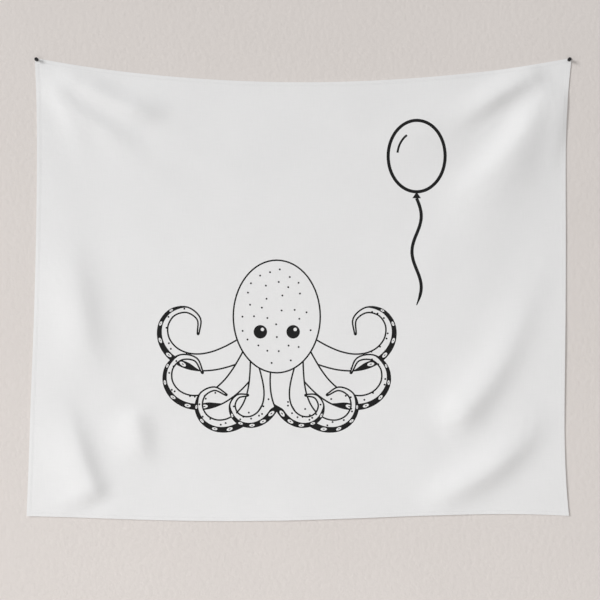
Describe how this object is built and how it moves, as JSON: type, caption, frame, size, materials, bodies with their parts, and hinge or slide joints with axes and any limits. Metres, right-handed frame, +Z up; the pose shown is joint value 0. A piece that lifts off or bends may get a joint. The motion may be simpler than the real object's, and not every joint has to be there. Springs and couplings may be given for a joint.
{
  "type": "wall hanging",
  "caption": "Light printed cloth wall hanging with hemmed edges, hung by its top corners on black push pins; it lifts off the wall, folds up, and its pins pull out.",
  "frame": {"origin": "on the wall's face, midway between the two push pins", "axes": "+X to the right across the cloth, +Z up, +Y into the wall; the printed face looks along -Y"},
  "size_m": [1.528, 0.0302, 1.3022],
  "materials": {
    "cloth": "matte",
    "hem": "matte",
    "thread": "satin",
    "grip": "gloss",
    "needle": "polished"
  },
  "bodies": {
    "pinned_corners": {"corner_left": "cloth", "corner_right": "cloth"},
    "upper_sheet": {"panel_upper": "cloth", "hem_top": "hem", "hem_left_upper": "hem", "hem_right_upper": "hem", "thread_top": "thread", "thread_left_upper": "thread", "thread_right_upper": "thread"},
    "lower_sheet": {"panel_lower": "cloth", "hem_bottom": "hem", "hem_left_lower": "hem", "hem_right_lower": "hem", "thread_bottom": "thread", "thread_left_lower": "thread", "thread_right_lower": "thread"},
    "left_pin": {"left_pin_grip": "grip", "left_pin_needle": "needle"},
    "right_pin": {"right_pin_grip": "grip", "right_pin_needle": "needle"}
  },
  "joints": [
    {"name": "sheet_swing", "type": "hinge", "parent": "pinned_corners", "child": "upper_sheet", "pos_m": [0, 0, 0.006], "axis": [-1, 0, 0], "range_deg": [0, 75]},
    {"name": "lower_fold", "type": "hinge", "parent": "upper_sheet", "child": "lower_sheet", "pos_m": [0, -0.004, -0.64], "axis": [-1, 0, 0], "range_deg": [0, 150]},
    {"name": "left_pin_pull", "type": "slide", "parent": "pinned_corners", "child": "left_pin", "axis": [0, -1, 0], "range_m": [0, 0.02]},
    {"name": "right_pin_pull", "type": "slide", "parent": "pinned_corners", "child": "right_pin", "axis": [0, -1, 0], "range_m": [0, 0.02]}
  ]
}
